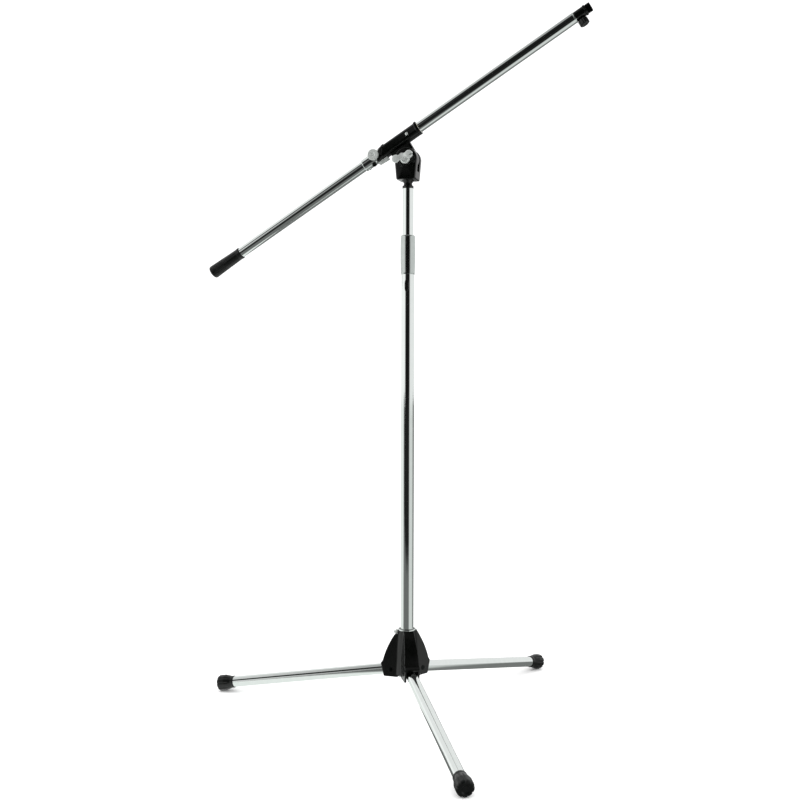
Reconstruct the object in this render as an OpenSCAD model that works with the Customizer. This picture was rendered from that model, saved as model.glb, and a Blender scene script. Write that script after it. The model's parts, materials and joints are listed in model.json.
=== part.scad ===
// Boom microphone stand: folding cast tripod base, telescoping mast with a
// twist clutch, and a boom held in a tilting cradle. Millimetres, +Z up.
// The origin is on the floor under the mast, and the boom lies over +X.

/* [Tripod] */
// Distance from the mast to the middle of each foot
leg_reach = 348; // [330:1:370]
// Slope of a leg below the horizontal when it is open
leg_slope = 10.2; // [9.6:0.1:10.8]
// Outside diameter of a leg tube
leg_d = 19; // [18:0.5:20]
// Largest diameter of a rubber foot
foot_d = 27.5; // [26:0.5:30]
// Distance from the mast to a leg's hinge pin
leg_pivot_r = 26; // [26:0.5:28]

/* [Mast] */
// Outside diameter of the lower tube
base_d = 22.6; // [22.4:0.1:22.8]
// Height of the top of the lower tube above the floor
base_top = 751; // [650:1:850]
// Outside diameter of the sliding rod
rod_d = 19; // [18.8:0.1:19.2]
// Length of the sliding rod
rod_len = 757; // [650:1:800]
// How far the rod stands out of the lower tube
rod_out = 143; // [140:1:200]
// Outside diameter of the clutch sleeve
clutch_d = 25.2; // [25:0.2:26.6]
// Wall of every tube
wall = 1.2; // [1.2:0.1:1.4]

/* [Boom] */
// Tilt of the boom above the horizontal
tilt = 31.2; // [0:0.1:60]
// Outside diameter of the boom tube
boom_d = 18; // [17.6:0.2:18.4]
// Reach from the tilt axis to the tip, along the boom
boom_front = 376.5; // [300:0.5:500]
// Reach from the tilt axis to the end of the grip, along the boom
boom_rear = 408; // [300:1:500]
// Distance of the boom from its tilt axis
boom_rise = 36; // [36:0.5:40]
// Height of the tilt axis above the top of the rod
tilt_rise = 47.6; // [47:0.1:52]

/* [Hidden] */

$fn = 64;
eps = 0.02;         // overlap that makes a cut clean
fit = 0.05;         // radial clearance of a running fit
gap = 0.3;          // clearance between pieces that only pass each other

black = "#1c1e1d";
chrome = "#c9cfcd";
steel = "#9a9d9c";
brass = "#b09048";
nylon = "#d8d4c8";

leg_azimuth = [180, 60, -60];          // left, right and front leg
leg_r = leg_d / 2;
foot_r = foot_d / 2;
foot_round = 4.4;                      // rounding of the foot's end
foot_flat = 6.2;                       // foot's straight flank past its middle
// A sloping foot touches the floor on its rounding, which sets how high its middle is.
foot_z = foot_flat * sin(leg_slope) + (foot_r - foot_round) * cos(leg_slope) + foot_round;
leg_pivot_z = foot_z + (leg_reach - leg_pivot_r) * tan(leg_slope);
leg_run = (leg_reach - leg_pivot_r) / cos(leg_slope);   // hinge pin to middle of foot
pin_r = 3;
nose = 14;                             // solid root of a leg past its hinge pin
leg_past = 6;                          // leg tube past the middle of its foot

base_r = base_d / 2;
base_bore = base_r - wall;
base_bottom = 61.5;
stop_r = leg_pivot_r - leg_r - 0.5;

hub_bottom = 60.5;
sleeve_r = base_r + 2.4;
sleeve_bottom = base_bottom + 6;
web_r = 19;                            // hub between its fins, at the bottom
web_bottom = hub_bottom + 4;
fin_top = 141;
fin_shoulder = [39.7, 88];             // where a fin's curved back meets its lip
fin_lip = [43.5, 83];                  // outermost edge over the leg
fin_toe = 38;                          // reach of a fin at its underside
fin_wide = leg_d + 7;
fin_wide_top = 92;                     // a fin narrows above this height
fin_narrow = 17.5;
neck_top = 143.2;
neck_ring_r = sleeve_r + 1.7;
pin_head_r = 4.2;
screw_z = 138;
screw_azimuth = 200;
screw_head = neck_ring_r + 0.8;        // where the head of the hub's screw starts
paddle_half = 5;                       // half width of that screw's flat grip

clutch_r = clutch_d / 2;
clutch_bottom = base_top - 1.6;
clutch_top = clutch_bottom + 66;
seat_top = clutch_top - 9;
collet_top = clutch_top - 3.5;

rod_r = rod_d / 2;
rod_bore = rod_r - wall;
rod_top = base_top + rod_out;
rod_bottom = rod_top - rod_len;
stem_r = 5;

tilt_z = rod_top + tilt_rise;
yoke_bottom = tilt_z - 34;             // underside of the yoke's block
yoke_r = 19.6;                         // rounded top of the yoke's cheeks
yoke_foot = 16.6;                      // half width of the yoke at its underside
yoke_t = 32;                           // yoke, measured along the tilt axis
slot_half = 6.3;
tongue_half = 5;
bolt_r = 4;
bolt_end = 32.5;                       // bolt's front end, from the middle of the yoke
clip_z = rod_top - 26.3;               // spring clip at the lower end of the stem
clip_t = 1.3;

boom_r = boom_d / 2;
boom_bore = boom_r - 1;
cradle_rear = -38.7;
cradle_slant = 35;                     // lean of the cradle's rear face
cradle_front = 44.3;
cradle_half = 10.8;
cradle_up = 10.3;                      // cradle above the boom's axis
cradle_down = 11;                      // cradle below the boom's axis
liner_r = boom_r + 0.6;
rivet_u = 22;
rivet_r = 2;
collar_rear = -70;
collar_r = 10.8;
thumb_u = -43;
thumb_boss = 15.5;                     // length of the thumb screw's boss, from the boom's axis
set_screw_u = -52;
set_screw_turn = 150;                  // round the boom, from straight up towards the wing nut's side
set_screw_r = 2;
ear = [-63.5, -7.5];                   // cast ear under the collar, from the boom's axis
grip_len = 67;
tip_u = boom_front - 31;               // front end of the boom tube and its ring
thread_r = 7.9;                        // 5/8 inch microphone thread
thread_len = 8.5;
ring_t = 3.6;                          // room for the lock ring behind the thread
ring_u = boom_front - thread_len - ring_t;
knob_screw_r = 2.5;
spigot_r = 5;                          // adapter under the lock ring

// Points of an arc from a to b that bulges to the left of the way from a to b by rise.
function arc_points(a, b, rise, n = 10) =
  let (d = b - a, chord = norm(d), r = (chord * chord / 4 + rise * rise) / (2 * rise),
       m = (a + b) / 2, left = [-d[1], d[0]] / chord, c = m - left * (r - rise),
       half = asin(chord / 2 / r), mid = atan2(left[1], left[0]))
  [for (i = [0:n]) c + r * [cos(mid + half - 2 * half * i / n), sin(mid + half - 2 * half * i / n)]];

module tube(r, bore, z0, z1) {
  translate([0, 0, z0]) difference() {
    cylinder(r = r, h = z1 - z0);
    translate([0, 0, -eps]) cylinder(r = bore, h = z1 - z0 + 2 * eps);
  }
}

// A cylinder whose two ends are chamfered.
module turned(r, z0, z1, chamfer = 0.6) {
  rotate_extrude()
    polygon([[0, z0], [r - chamfer, z0], [r, z0 + chamfer], [r, z1 - chamfer], [r - chamfer, z1], [0, z1]]);
}

// A low domed head on z = 0.
module dome(r, h) {
  rotate_extrude() polygon(concat([[0, 0]], [for (i = [0:6]) [r * cos(i * 15), h * sin(i * 15)]]));
}

// A row of shallow grooves around a cylinder, as a knurl or flutes.
module flutes(count, at_r, r, z0, z1) {
  for (i = [0:count - 1])
    rotate([0, 0, (i + 0.5) * 360 / count]) translate([at_r, 0, z0]) cylinder(r = r, h = z1 - z0, $fn = 24);
}

// Along a leg: +X runs out from the hinge pin to the foot, and +Z is up.
module in_leg(i) {
  rotate([0, 0, leg_azimuth[i]]) translate([leg_pivot_r, 0, leg_pivot_z])
    rotate([0, leg_slope, 0]) children();
}

// Along the boom: +X runs to the tip from the tilt axis, which is Y.
module in_boom() { translate([0, 0, tilt_z]) rotate([0, -tilt, 0]) children(); }

// Along the boom tube's own axis, which becomes Z.
module on_boom() { in_boom() translate([0, 0, boom_rise]) rotate([0, 90, 0]) children(); }

// Along the tilt axis: Z points to the wing nut's side.
module on_tilt() { translate([0, 0, tilt_z]) rotate([90, 0, 0]) children(); }

// ---- Mast ----

module base_tube() {
  color(chrome) difference() {
    tube(base_r, base_bore, base_bottom, base_top);
    clutch_key_shape(0.15);
  }
}

// An oval boss that stands in a slot in the tube's front.
module clutch_key_shape(grow) {
  key_r = 3.4;
  key_half = 7;                        // from the oval's middle to the centre of either end
  key_z = base_top - 21;
  rotate([0, 0, -84]) translate([base_bore - 0.6, 0, key_z]) rotate([0, 90, 0]) linear_extrude(wall + 2)
    union() {
      for (end = [-1, 1]) translate([end * key_half, 0]) circle(r = key_r + grow);
      square([2 * key_half, 2 * (key_r + grow)], center = true);
    }
}

module clutch_key() {
  color(black) difference() {
    clutch_key_shape(0);
    translate([0, 0, base_top - 60]) cylinder(r = base_bore, h = 60);
  }
}

module stop_ring() { color(steel) tube(stop_r, base_r, base_bottom, sleeve_bottom - gap); }

module tube_plug() {
  color(black) {
    turned(base_r, base_bottom - 3, base_bottom, 1);
    translate([0, 0, base_bottom]) cylinder(r = base_bore, h = 7);
  }
}

module clutch_seat() {
  color(brass) {
    tube(base_r, rod_r + fit, base_top, seat_top);
    tube(base_bore, rod_r + fit, base_top - 10, base_top);
  }
}

module clutch_collet() {
  color(nylon) difference() {
    rotate_extrude() polygon([
      [rod_r + 0.08, seat_top], [base_r - 0.3, seat_top], [base_r - 0.3, seat_top + 2],
      [rod_r + 0.7, collet_top], [rod_r + 0.08, collet_top]
    ]);
    translate([0, -0.5, seat_top - 1]) cube([20, 1, 12]);
  }
}

// A chrome sleeve with a slight belly and a rounded shoulder.
module clutch_sleeve() {
  shoulder = 3;
  cone_bottom = seat_top + 2.3;        // the cone that squeezes the collet
  cone_top = clutch_top - 1.5;
  foot_end = [clutch_r - 0.6, clutch_bottom + 1];
  belly = arc_points(foot_end, [clutch_r - 0.3, clutch_top - shoulder], -0.45, 12);
  color(chrome) difference() {
    rotate_extrude() {
      polygon(concat([[0, clutch_bottom], [clutch_r - 1, clutch_bottom]], belly,
                     [[0, clutch_top - shoulder]]));
      intersection() {
        translate([clutch_r - 0.3 - shoulder, clutch_top - shoulder]) circle(r = shoulder);
        translate([0, clutch_top - shoulder]) square([clutch_r, shoulder]);
      }
      translate([0, clutch_top - shoulder]) square([clutch_r - 0.3 - shoulder, shoulder]);
    }
    translate([0, 0, clutch_bottom - eps]) cylinder(r = base_r + fit, h = cone_bottom - clutch_bottom);
    translate([0, 0, cone_bottom - eps])
      cylinder(r1 = base_r + fit, r2 = rod_r + 0.5, h = cone_top - cone_bottom);
    translate([0, 0, clutch_top - 4]) cylinder(r = rod_r + 0.5, h = 8);
  }
}

// ---- Tripod base ----

// Side view of a fin: x is the distance from the mast and y is the height.
module fin_side() {
  polygon(concat(
    [[base_r + 1, hub_bottom], [base_r + 1, fin_top]],
    arc_points([sleeve_r + 0.8, fin_top], fin_shoulder, 2.9),
    [fin_lip, [fin_toe, hub_bottom]]
  ));
}

// End view of a fin, wider at its foot.
module fin_end() {
  polygon([
    [-fin_wide / 2, hub_bottom], [-fin_wide / 2, fin_wide_top], [-fin_narrow / 2, fin_top + 1],
    [fin_narrow / 2, fin_top + 1], [fin_wide / 2, fin_wide_top], [fin_wide / 2, hub_bottom]
  ]);
}

// The room that a leg needs in its fin: it hangs open below and outwards.
module leg_room() {
  room_r = leg_r + gap + 0.1;
  out = 60;                            // well past the fin's end
  rotate([90, 0, 0]) translate([0, 0, -leg_r - gap]) linear_extrude(2 * (leg_r + gap)) union() {
    translate([leg_pivot_r, leg_pivot_z]) {
      circle(r = room_r);
      rotate(-leg_slope) translate([0, -out]) square([out, out + room_r]);
    }
    translate([leg_pivot_r - room_r, 0]) square([out, leg_pivot_z]);
  }
}

// From the mast's axis along the hub's screw, which becomes Z.
module on_hub_screw() {
  rotate([0, 0, screw_azimuth]) translate([0, 0, screw_z]) rotate([0, 90, 0]) children();
}

module tripod_hub() {
  web = arc_points([sleeve_r, fin_top - 2], [web_r, web_bottom], 1);
  color(black) difference() {
    union() {
      tube(sleeve_r, base_r + fit, sleeve_bottom, neck_top);
      rotate_extrude() polygon(concat([[base_r + 1, fin_top - 2]], web, [[base_r + 1, web_bottom]]));
      for (a = leg_azimuth) rotate([0, 0, a]) intersection() {
        rotate([90, 0, 0]) translate([0, 0, -fin_wide / 2]) linear_extrude(fin_wide) fin_side();
        rotate([90, 0, 90]) linear_extrude(60) fin_end();
      }
    }
    translate([0, 0, hub_bottom - 1]) cylinder(r = base_r + fit, h = 100);
    translate([0, 0, hub_bottom - 1]) cylinder(r = stop_r + 0.4, h = sleeve_bottom - hub_bottom + 1);
    for (a = leg_azimuth) rotate([0, 0, a]) {
      leg_room();
      translate([leg_pivot_r, 0, leg_pivot_z]) rotate([90, 0, 0]) {
        cylinder(r = pin_r, h = 60, center = true);
        for (side = [0, 1]) mirror([0, 0, side])
          translate([0, 0, fin_wide / 2]) cylinder(r = pin_head_r + 0.4, h = 8);
      }
    }
    on_hub_screw() {
      cylinder(r = pin_r + fit, h = 40);
      translate([0, 0, screw_head - 0.4]) cylinder(r = paddle_half + 1, h = 30);
    }
  }
}

module neck_ring() {
  edge = 0.5;
  ring_bottom = fin_top + 0.1;
  color(chrome) rotate_extrude() polygon([
    [sleeve_r, ring_bottom], [neck_ring_r - edge, ring_bottom], [neck_ring_r, ring_bottom + edge],
    [neck_ring_r, neck_top - edge], [neck_ring_r - edge, neck_top], [sleeve_r, neck_top]
  ]);
}

// A brass pad between the screw and the tube.
module clamp_shoe() {
  color(brass) on_hub_screw() translate([0, 0, base_r + 0.3]) cylinder(r = pin_r, h = 0.8);
}

// Each pin has a domed head on both sides of its fin.
module leg_pins() {
  color(black) for (a = leg_azimuth)
    rotate([0, 0, a]) translate([leg_pivot_r, 0, leg_pivot_z]) rotate([90, 0, 0]) {
      cylinder(r = pin_r, h = fin_wide, center = true);
      for (side = [0, 1]) mirror([0, 0, side]) translate([0, 0, fin_wide / 2]) dome(pin_head_r, 1);
    }
}

// Thumb screw with a flat paddle that lies level at rest.
module hub_wing_screw() {
  paddle_t = 2.6;
  paddle_end = screw_head + 6.6;
  corner = 2;
  paddle_len = paddle_end - screw_head - 1;
  color(steel) on_hub_screw() {
    translate([0, 0, base_r + 1.3]) cylinder(r = pin_r, h = screw_head - base_r);
    turned(4.2, screw_head, screw_head + 2.6, 0.4);
    rotate([90, 0, 90]) translate([0, 0, -paddle_t / 2]) linear_extrude(paddle_t) union() {
      for (side = [-1, 1])
        translate([side * (paddle_half - corner), paddle_end - corner]) circle(r = corner);
      translate([-paddle_half, screw_head + 1]) square([2 * paddle_half, paddle_len - corner]);
      translate([corner - paddle_half, screw_head + 1]) square([2 * (paddle_half - corner), paddle_len]);
    }
  }
}

// ---- Legs ----

// The solid root turns on the hinge pin and plugs into the tube.
module leg_root(i) {
  color(steel) in_leg(i) difference() {
    union() {
      intersection() {
        rotate([90, 0, 0]) cylinder(r = leg_r, h = leg_d + 2, center = true);
        translate([-leg_r - 1, 0, 0]) rotate([0, 90, 0]) cylinder(r = leg_r, h = leg_d + 2);
      }
      rotate([0, 90, 0]) cylinder(r = leg_r, h = nose);
      rotate([0, 90, 0]) cylinder(r = leg_r - wall, h = nose + 25);
    }
    rotate([90, 0, 0]) cylinder(r = pin_r + fit, h = leg_d + 4, center = true);
  }
}

module leg_tube(i) {
  color(chrome) in_leg(i) rotate([0, 90, 0]) tube(leg_r, leg_r - wall, nose, leg_run + leg_past);
}

// A fluted rubber boot: a collar on the tube, a flare, and a dished end.
module foot(i) {
  collar_r = leg_r + 1.2;
  boot_top = -21;
  end = foot_flat + foot_round;
  dish = 1.4;
  color(black) in_leg(i) translate([leg_run, 0, 0]) rotate([0, 90, 0]) difference() {
    rotate_extrude() {
      polygon(concat(
        [[0, boot_top], [collar_r - 0.6, boot_top], [collar_r, boot_top + 0.7], [collar_r, boot_top + 5]],
        arc_points([collar_r + 0.2, boot_top + 7], [foot_r, -3.5], -0.7, 6),
        [[foot_r, foot_flat], [foot_r - foot_round, end], [foot_r - 6.2, end]],
        [[foot_r - 8, end - dish], [0, end - dish]]
      ));
      intersection() {
        translate([foot_r - foot_round, foot_flat]) circle(r = foot_round);
        translate([0, foot_flat]) square(foot_r);
      }
    }
    translate([0, 0, boot_top - 1]) cylinder(r = leg_r, h = leg_past + 1 - boot_top);
    flutes(9, foot_r + 2.6, 4.2, -8, end + 1);
  }
}

// ---- Rod ----

module upper_rod() { color(chrome) tube(rod_r, rod_bore, rod_bottom, rod_top); }

module rod_bush() {
  color(nylon) {
    turned(base_bore - fit, rod_bottom - 6, rod_bottom, 0.8);
    translate([0, 0, rod_bottom]) cylinder(r = rod_bore, h = 22);
  }
}

module rod_cap() {
  color(black) difference() {
    union() {
      turned(rod_r, rod_top, rod_top + 4.6, 0.7);
      translate([0, 0, rod_top - 24]) cylinder(r = rod_bore, h = 24);
    }
    translate([0, 0, rod_top - 30]) cylinder(r = stem_r + fit, h = 40);
  }
}

// ---- Head ----

// Outline of the yoke from the side, without its round top.
module yoke_side() {
  polygon([[-yoke_foot, yoke_bottom], [-yoke_r, tilt_z], [yoke_r, tilt_z], [yoke_foot, yoke_bottom]]);
}

module head_yoke() {
  stem_top = yoke_bottom - 4.5;
  edge = 4.5;
  color(black) difference() {
    union() {
      intersection() {
        rotate([90, 0, 0]) translate([0, 0, -yoke_t / 2]) linear_extrude(yoke_t) union() {
          yoke_side();
          translate([0, tilt_z]) circle(r = yoke_r);
        }
        translate([0, 0, yoke_bottom]) linear_extrude(70) union() {
          for (x = [-1, 1], y = [-1, 1])
            translate([x * (yoke_r - edge), y * (yoke_t / 2 - edge)]) circle(r = edge);
          square([2 * (yoke_r - edge), yoke_t], center = true);
          square([2 * yoke_r, yoke_t - 2 * edge], center = true);
        }
      }
      rotate_extrude() polygon([
        [0, rod_top + 4.9], [7.6, rod_top + 4.9], [7, stem_top], [11, yoke_bottom], [11, yoke_bottom + 1],
        [0, yoke_bottom + 1]
      ]);
      translate([0, 0, rod_top - 27.5]) cylinder(r = stem_r, h = 40);
    }
    translate([-yoke_r - 1, -slot_half, tilt_z - yoke_r - 0.6])
      cube([2 * yoke_r + 2, 2 * slot_half, 2 * yoke_r + 2]);
    on_tilt() cylinder(r = bolt_r, h = yoke_t + 2, center = true);
    translate([0, 0, clip_z]) difference() {
      cylinder(r = stem_r + 1, h = clip_t);
      cylinder(r = stem_r - 1, h = clip_t);
    }
  }
}

// A spring clip keeps the yoke's stem from lifting out.
module stem_clip() {
  color(steel) translate([0, 0, clip_z]) difference() {
    cylinder(r = stem_r + 2.4, h = clip_t);
    translate([0, 0, -eps]) cylinder(r = stem_r - 1, h = clip_t + 1);
    translate([0, -2, -eps]) cube([12, 4, clip_t + 1]);
  }
}

module friction_washers() {
  color(steel) on_tilt() for (side = [0, 1]) mirror([0, 0, side])
    tube(15, bolt_r, tongue_half + gap, slot_half);
}

// Hexagon head at the back and a plain shank that ends inside the nut.
module tilt_bolt() {
  head_t = 5.5;
  back = -yoke_t / 2 - head_t;
  color(steel) on_tilt() translate([0, 0, back]) {
    cylinder(r = 7.4, h = head_t, $fn = 6);
    cylinder(r = bolt_r, h = bolt_end - back);
  }
}

// A flange, a neck, and two plump lobes that lie across the end.
module tilt_wing_nut() {
  base = yoke_t / 2 + gap;
  lobe_z = 31;
  lobe_t = 6;
  lobe_r = 6.7;
  lobe_x = 11.8;
  waist = 4.2;
  color(chrome) on_tilt() rotate([0, 0, 16.5]) difference() {
    union() {
      rotate_extrude() polygon([
        [0, base], [8.6, base], [8.6, base + 2], [6.2, base + 4], [5.8, lobe_z], [0, lobe_z]
      ]);
      translate([0, 0, lobe_z]) linear_extrude(lobe_t) union() {
        for (side = [-1, 1]) translate([side * lobe_x, 0]) circle(r = lobe_r);
        square([2 * lobe_x, 2 * waist], center = true);
        circle(r = 6.2);
      }
    }
    translate([0, 0, base - 1]) cylinder(r = bolt_r + fit, h = bolt_end + gap + 1 - base);
  }
}

// ---- Cradle: holds the boom over the tilt axis ----

// Keeps what lies in front of the slanted rear end of the cradle.
module before_rear() {
  in_boom() translate([cradle_rear, 0, boom_rise]) rotate([0, cradle_slant, 0])
    translate([0, -40, -60]) cube([200, 80, 120]);
}

module cradle_section(grow = 0) {
  edge = 8;
  up = cradle_up + grow;
  down = cradle_down;
  half = cradle_half + grow / 2;
  union() {
    for (x = [down - edge, edge - up], y = [-1, 1]) translate([x, y * (half - edge)]) circle(r = edge);
    translate([-up, edge - half]) square([up + down, 2 * (half - edge)]);
    translate([edge - up, -half]) square([up + down - 2 * edge, 2 * half]);
  }
}

module boom_cradle() {
  lip = 4.5;
  color(black) difference() {
    union() {
      intersection() {
        on_boom() union() {
          translate([0, 0, cradle_rear - 20])
            linear_extrude(cradle_front + 20 - cradle_rear) cradle_section();
          for (z = [cradle_rear + 6, cradle_front - lip])
            translate([0, 0, z]) linear_extrude(lip) cradle_section(1.3);
        }
        before_rear();
      }
      on_tilt() rotate([0, 0, tilt]) translate([0, 0, -tongue_half]) linear_extrude(2 * tongue_half)
      union() {
        circle(r = yoke_r - 0.4);
        translate([0.4 - yoke_r, 0]) square([2 * yoke_r - 0.8, boom_rise - 5]);
      }
    }
    on_boom() translate([0, 0, cradle_rear - 30]) cylinder(r = liner_r, h = 150);
    on_tilt() cylinder(r = bolt_r + fit, h = 60, center = true);
    rivet_hole();
  }
}

// The lining rivet's axis: from the boom's axis towards the wing nut's side.
module on_rivet() { in_boom() translate([rivet_u, 0, boom_rise]) rotate([90, 0, 0]) children(); }

module rivet_hole() {
  on_rivet() {
    cylinder(r = rivet_r, h = 20);
    translate([0, 0, cradle_half]) cylinder(r = rivet_r + 0.8, h = 5);
  }
}

module cradle_rivet() {
  color(chrome) on_rivet() {
    translate([0, 0, liner_r + 0.1]) cylinder(r = rivet_r, h = cradle_half - liner_r - 0.1);
    translate([0, 0, cradle_half]) dome(rivet_r + 0.6, 1);
  }
}

module cradle_liner() {
  color(nylon) intersection() {
    on_boom() tube(liner_r, boom_r + fit, cradle_rear - 10, cradle_front);
    before_rear();
  }
}

// Thumb screw's axis: from the boom's axis towards the wing nut's side.
module on_thumb() { in_boom() translate([thumb_u, 0, boom_rise]) rotate([90, 0, 0]) children(); }

// Set screw's axis, under the collar and a little to the front.
module on_set_screw() {
  in_boom() translate([set_screw_u, 0, boom_rise]) rotate([set_screw_turn, 0, 0]) children();
}

module boom_collar() {
  color(chrome) difference() {
    union() {
      on_boom() rotate_extrude() polygon([
        [0, collar_rear], [collar_r - 1.5, collar_rear], [collar_r, collar_rear + 1.5],
        [collar_r, cradle_rear + 8], [0, cradle_rear + 8]
      ]);
      on_thumb() cylinder(r = pin_r + 1, h = thumb_boss);
      in_boom() translate([ear[0], 0, boom_rise + ear[1]]) sphere(r = 4.6);
    }
    before_rear();
    on_boom() translate([0, 0, collar_rear - 10]) cylinder(r = boom_r + fit, h = 80);
    on_thumb() cylinder(r = pin_r + fit, h = 20);
    on_set_screw() cylinder(r = set_screw_r, h = 20);
  }
}

module collar_set_screw() {
  color(black) on_set_screw() {
    translate([0, 0, boom_r + 0.4]) cylinder(r = set_screw_r, h = collar_r - boom_r - 0.4);
    turned(2 * set_screw_r, collar_r, collar_r + 2.4, 0.5);
  }
}

// Disc-headed thumb screw with a dimple in its face and a knurled rim.
module collar_thumb_screw() {
  disc = 19;
  disc_r = 9.4;
  disc_t = 5;
  color(chrome) on_thumb() difference() {
    union() {
      translate([0, 0, boom_r + 0.35]) cylinder(r = pin_r, h = disc - boom_r);
      turned(pin_r + 1, thumb_boss + gap, disc + 0.5, 0.4);
      turned(disc_r, disc, disc + disc_t, 1);
    }
    translate([0, 0, disc + disc_t - 1.2]) cylinder(r1 = 2.4, r2 = 3.4, h = 2);
    flutes(24, disc_r + 0.3, 0.7, disc - 1, disc + disc_t + 1);
  }
}

// A plated strap that braces the cradle's rear half from below.
module jaw_strap() {
  half = 6;
  front = -26;
  rear = -45.5;
  color(chrome) in_boom() translate([0, half, boom_rise]) rotate([90, 0, 0]) linear_extrude(2 * half)
    polygon([
      [rear, -cradle_down], [front, -cradle_down], [front, -cradle_down - 4], [front - 4, -cradle_down - 4],
      [rear, -cradle_down - 2.8]
    ]);
}

// ---- Boom ----

module boom_tube() { color(chrome) on_boom() tube(boom_r, boom_bore, 3 - boom_rear, tip_u); }

// Rubber grip: closed at the rear, tapered, with a flared mouth.
module boom_grip() {
  r = 11.6;
  mouth_r = 10;
  end = 3;                             // thickness and rounding of the closed end
  rear = -boom_rear;
  mouth = rear + grip_len;
  color(black) on_boom() difference() {
    rotate_extrude() {
      polygon([
        [0, rear], [r - end, rear], [r - end, rear + end], [r, rear + end], [mouth_r, mouth - 8],
        [mouth_r + 0.5, mouth - 1.2], [mouth_r - 0.3, mouth], [0, mouth]
      ]);
      intersection() {
        translate([r - end, rear + end]) circle(r = end);
        translate([0, rear]) square([r, end]);
      }
    }
    translate([0, 0, rear + end]) cylinder(r = boom_r, h = grip_len);
    flutes(20, r + 0.3, 0.8, rear + 9, rear + 30);
  }
}

module tip_ring() { color(chrome) on_boom() tube(boom_r + 0.4, boom_bore, tip_u, tip_u + 2); }

module tip_adapter() {
  color(black) difference() {
    on_boom() union() {
      translate([0, 0, tip_u - 20]) cylinder(r = boom_bore, h = 22);
      turned(8.2, tip_u + 2, ring_u, 0.6);
      translate([0, 0, tip_u + 12]) cylinder(r = spigot_r, h = boom_front - thread_len - tip_u - 12);
    }
    on_tip_knob() cylinder(r = knob_screw_r + fit, h = 12);
  }
}

module on_tip_knob() { in_boom() translate([tip_u + 9.5, 0, boom_rise]) rotate([180, 0, 0]) children(); }

// The stud that the microphone clip screws on to.
module mic_stud() {
  color(steel) on_boom() turned(thread_r, boom_front - thread_len, boom_front, 0.8);
}

module lock_ring() {
  r = 8.8;
  color(black) on_boom() difference() {
    turned(r, ring_u + fit, ring_u + ring_t - fit, 0.5);
    translate([0, 0, ring_u - 1]) cylinder(r = spigot_r + fit, h = ring_t + 2);
    flutes(18, r + 0.3, 0.7, ring_u - 1, ring_u + ring_t + 1);
  }
}

// Black thumb knob with a lobed grip on a plain shank.
module tip_knob() {
  top = 9.4;
  color(black) on_tip_knob() difference() {
    union() {
      translate([0, 0, 3]) cylinder(r = knob_screw_r, h = top - 2);
      turned(8.2, top, top + 10, 2);
    }
    flutes(8, 9.4, 2, top - 1, top + 11);
  }
}

base_tube();
stop_ring();
tube_plug();
clutch_seat();
clutch_collet();
clutch_key();
clutch_sleeve();
tripod_hub();
neck_ring();
clamp_shoe();
leg_pins();
hub_wing_screw();
leg_root(0);  // leg_root_left
leg_root(1);  // leg_root_right
leg_root(2);  // leg_root_front
leg_tube(0);  // leg_tube_left
leg_tube(1);  // leg_tube_right
leg_tube(2);  // leg_tube_front
foot(0);  // foot_left
foot(1);  // foot_right
foot(2);  // foot_front
upper_rod();
rod_bush();
rod_cap();
head_yoke();
stem_clip();
friction_washers();
tilt_bolt();
tilt_wing_nut();
boom_cradle();
cradle_liner();
cradle_rivet();
boom_collar();
collar_set_screw();
jaw_strap();
collar_thumb_screw();
boom_tube();
boom_grip();
tip_ring();
tip_adapter();
mic_stud();
lock_ring();
tip_knob();
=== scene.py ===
"""The looks of a boom microphone stand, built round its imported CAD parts.

The frame is in metres with +Z up. Pieces are drawn in millimetres in their own frames.
"""

import json

import bpy
import numpy as np
from mathutils import Matrix, Vector


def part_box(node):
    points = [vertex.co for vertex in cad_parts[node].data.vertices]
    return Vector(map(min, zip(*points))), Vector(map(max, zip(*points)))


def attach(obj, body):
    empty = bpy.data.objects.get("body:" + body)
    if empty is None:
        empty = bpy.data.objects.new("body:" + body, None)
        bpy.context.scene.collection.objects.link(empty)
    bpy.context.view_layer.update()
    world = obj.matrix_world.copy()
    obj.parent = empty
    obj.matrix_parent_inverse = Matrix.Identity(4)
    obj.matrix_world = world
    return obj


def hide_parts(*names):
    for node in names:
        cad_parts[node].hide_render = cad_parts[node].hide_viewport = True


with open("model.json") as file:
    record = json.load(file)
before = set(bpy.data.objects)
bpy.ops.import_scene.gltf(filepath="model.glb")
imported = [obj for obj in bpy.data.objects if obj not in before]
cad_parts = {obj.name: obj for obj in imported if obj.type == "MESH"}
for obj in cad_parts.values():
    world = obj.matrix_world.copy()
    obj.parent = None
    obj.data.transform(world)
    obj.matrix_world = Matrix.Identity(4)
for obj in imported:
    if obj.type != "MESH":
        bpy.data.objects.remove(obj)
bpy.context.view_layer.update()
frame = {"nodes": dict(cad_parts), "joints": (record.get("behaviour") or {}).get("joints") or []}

joints = {joint["name"]: joint for joint in frame["joints"]}

# ---- Studio ----
# The stand is on a white paper floor in an evenly lit white room. Only the side behind the
# camera is unlit, and the chrome shows that side as the dark line down the middle of each tube.
# In reflections the floor shows a painted glow instead of lit paper: painted shade on the camera's
# side, and a brighter painted reflection to either side.
# A bearing is measured from the camera's side of the stand, with left positive.

scene = bpy.context.scene
scene.view_settings.view_transform = "Standard"


def linear(colour):
    """An sRGB hex colour as linear RGBA: ((c + 0.055) / 1.055) ** 2.4, or c / 12.92 where c is dark."""
    c = np.array([int(colour[i:i + 2], 16) for i in (1, 3, 5)]) / 255
    c = np.where(c > 0.04045, ((c + 0.055) / 1.055) ** 2.4, c / 12.92)
    return (*c.tolist(), 1.0)


def add(tree, kind, inputs=None, **settings):
    """Adds one node. Each input is given a value, or the socket that it is linked from."""
    node = tree.nodes.new(kind)
    for name, value in settings.items():
        setattr(node, name, value)
    for name, value in (inputs or {}).items():
        if isinstance(value, bpy.types.NodeSocket):
            tree.links.new(value, node.inputs[name])
        else:
            node.inputs[name].default_value = value
    return node


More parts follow.
